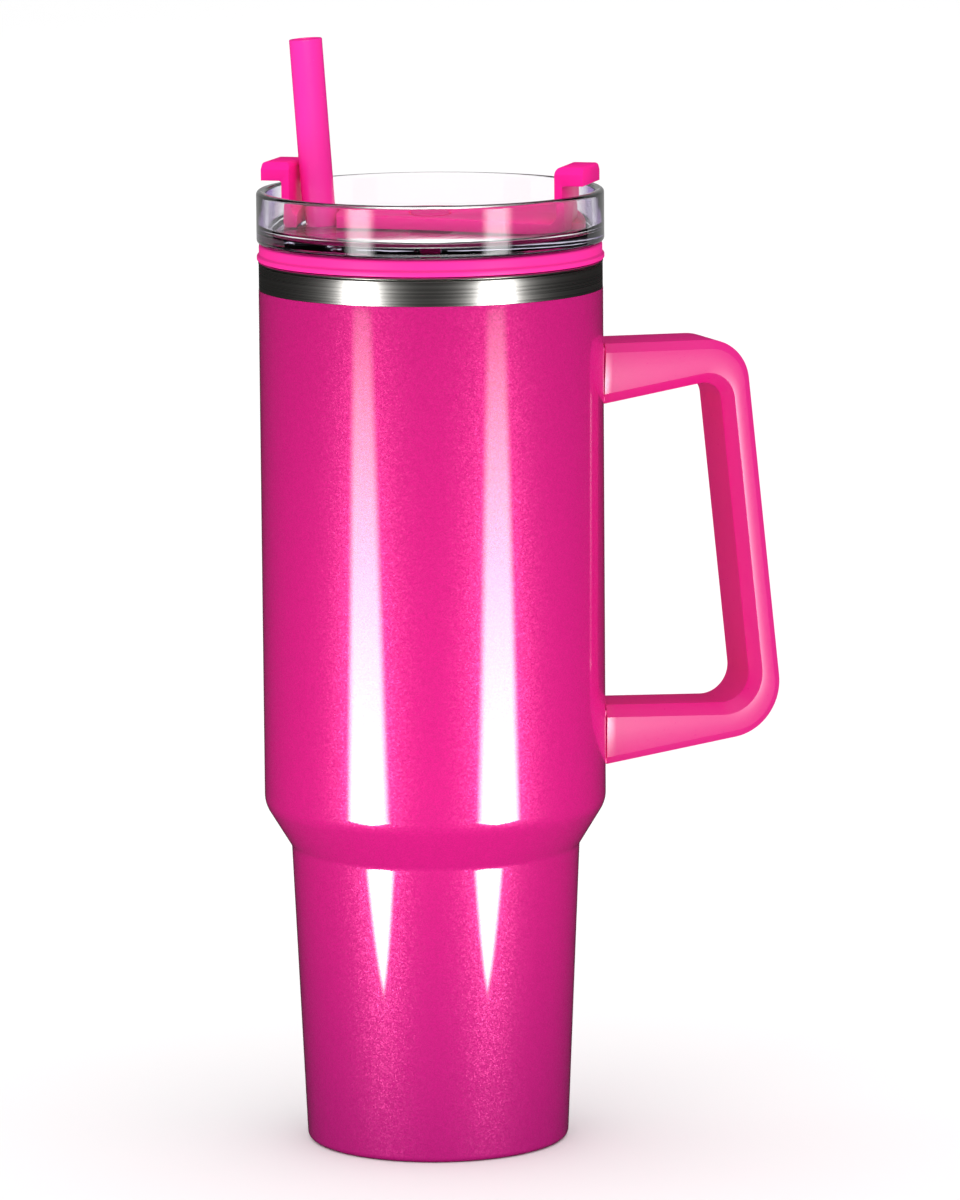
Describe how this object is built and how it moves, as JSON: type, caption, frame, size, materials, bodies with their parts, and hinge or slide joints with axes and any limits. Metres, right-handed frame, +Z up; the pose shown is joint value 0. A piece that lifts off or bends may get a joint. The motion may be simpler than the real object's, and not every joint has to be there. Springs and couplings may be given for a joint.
{
  "type": "insulated tumbler",
  "caption": "Vacuum-walled tumbler with a narrow foot, a side handle, a clear press-in lid with a turning cover, and a straw.",
  "frame": {"origin": "centre of the flat resting face under the base", "axes": "+Z up along the cup's axis, +X towards the handle, +Y to the handle's left seen from above the cup"},
  "size_m": [0.1541, 0.0998, 0.3203],
  "materials": {
    "body_paint": "glossy pearl with fine flake",
    "steel": "fine brushed",
    "handle_plastic": "satin gloss",
    "clear_plastic": "clear, glossy",
    "cover_plastic": "glossy",
    "seal_silicone": "smooth silicone",
    "clear_silicone": "translucent silicone",
    "straw_plastic": "glossy, slightly translucent",
    "solder_glass": "dark glass solder"
  },
  "bodies": {
    "cup": {"outer_shell": "body_paint", "inner_liner": "steel", "shell_bottom": "steel", "vacuum_plug": "solder_glass", "getter": "steel", "base_cover": "steel", "upper_bracket": "steel", "lower_bracket": "steel", "upper_handle_screw": "steel", "lower_handle_screw": "steel", "upper_pad": "seal_silicone", "lower_pad": "seal_silicone", "handle": "handle_plastic"},
    "lid": {"lid_seal": "seal_silicone", "lid_body": "clear_plastic", "straw_grommet": "clear_silicone", "pivot_seal": "clear_silicone"},
    "cover": {"cover": "cover_plastic", "sip_pad": "clear_silicone", "pivot_pin": "cover_plastic", "pivot_clip": "steel"},
    "straw": {"straw": "straw_plastic"}
  },
  "joints": [
    {"name": "lid_lift", "type": "slide", "parent": "cup", "child": "lid", "axis": [0, 0, 1], "range_m": [0, 0.25]},
    {"name": "cover_turn", "type": "hinge", "parent": "lid", "child": "cover", "pos_m": [0, 0, 0.2655], "axis": [0, 0, -1], "range_deg": [0, 90]},
    {"name": "straw_pull", "type": "slide", "parent": "lid", "child": "straw", "axis": [-0.0639, 0.0233, 0.9977], "range_m": [0, 0.26]}
  ]
}
